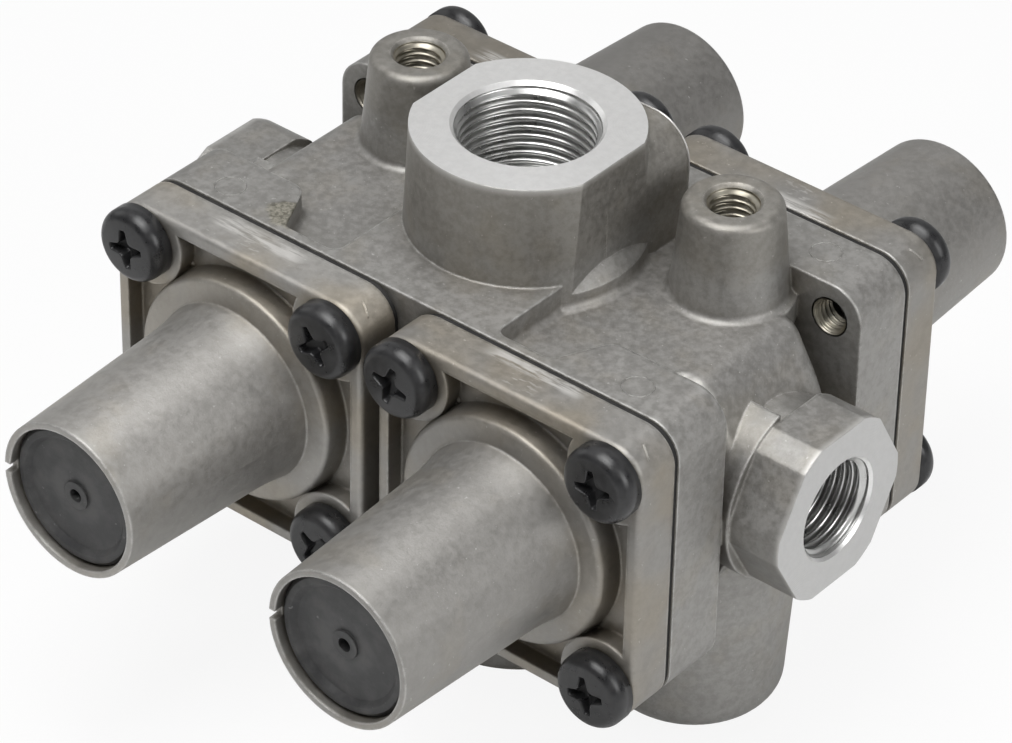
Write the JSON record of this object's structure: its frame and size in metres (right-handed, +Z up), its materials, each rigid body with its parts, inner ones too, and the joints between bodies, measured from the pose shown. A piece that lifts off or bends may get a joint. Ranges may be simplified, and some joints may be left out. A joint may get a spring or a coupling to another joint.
{
  "type": "multi-way valve",
  "caption": "Compressed-air protection valve: die-cast body with a supply port on top, delivery ports at the ends and below, and spring bonnets in pairs at the front and rear.",
  "frame": {"origin": "centre of the resting face below, on the axis of the supply port", "axes": "+Z up along the supply port, +X to the right delivery port, bonnets along -Y and +Y"},
  "size_m": [0.1192, 0.144, 0.0897],
  "materials": {
    "body": "die-cast, dull grey, machined port faces",
    "bonnet": "die-cast, dull grey",
    "plug": "moulded, satin",
    "adjuster": "turned, zinc plated",
    "spring": "spring wire, shot peened",
    "spring_plate": "turned",
    "diaphragm": "moulded, matt",
    "screw": "black coated"
  },
  "bodies": {
    "valve": {"valve_body": "body", "front_left_bonnet": "bonnet", "front_left_dust_plug": "plug", "front_left_adjusting_screw": "adjuster", "front_left_main_spring": "spring", "front_left_diaphragm": "diaphragm", "front_left_screws": "screw", "front_right_bonnet": "bonnet", "front_right_dust_plug": "plug", "front_right_adjusting_screw": "adjuster", "front_right_main_spring": "spring", "front_right_diaphragm": "diaphragm", "front_right_screws": "screw", "rear_left_bonnet": "bonnet", "rear_left_dust_plug": "plug", "rear_left_adjusting_screw": "adjuster", "rear_left_main_spring": "spring", "rear_left_diaphragm": "diaphragm", "rear_left_screws": "screw", "rear_right_bonnet": "bonnet", "rear_right_dust_plug": "plug", "rear_right_adjusting_screw": "adjuster", "rear_right_main_spring": "spring", "rear_right_diaphragm": "diaphragm", "rear_right_screws": "screw"},
    "front_left_piston": {"front_left_spring_plate": "spring_plate"},
    "front_right_piston": {"front_right_spring_plate": "spring_plate"},
    "rear_left_piston": {"rear_left_spring_plate": "spring_plate"},
    "rear_right_piston": {"rear_right_spring_plate": "spring_plate"}
  },
  "joints": [
    {"name": "front_left_opening_stroke", "type": "slide", "parent": "valve", "child": "front_left_piston", "axis": [0, -1, 0], "range_m": [0, 0.0023], "stiffness_N_per_m": 400, "deforming": ["front_left_main_spring"]},
    {"name": "front_right_opening_stroke", "type": "slide", "parent": "valve", "child": "front_right_piston", "axis": [0, -1, 0], "range_m": [0, 0.0023], "stiffness_N_per_m": 400, "deforming": ["front_right_main_spring"]},
    {"name": "rear_left_opening_stroke", "type": "slide", "parent": "valve", "child": "rear_left_piston", "axis": [0, 1, 0], "range_m": [0, 0.0023], "stiffness_N_per_m": 400, "deforming": ["rear_left_main_spring"]},
    {"name": "rear_right_opening_stroke", "type": "slide", "parent": "valve", "child": "rear_right_piston", "axis": [0, 1, 0], "range_m": [0, 0.0023], "stiffness_N_per_m": 400, "deforming": ["rear_right_main_spring"]}
  ]
}
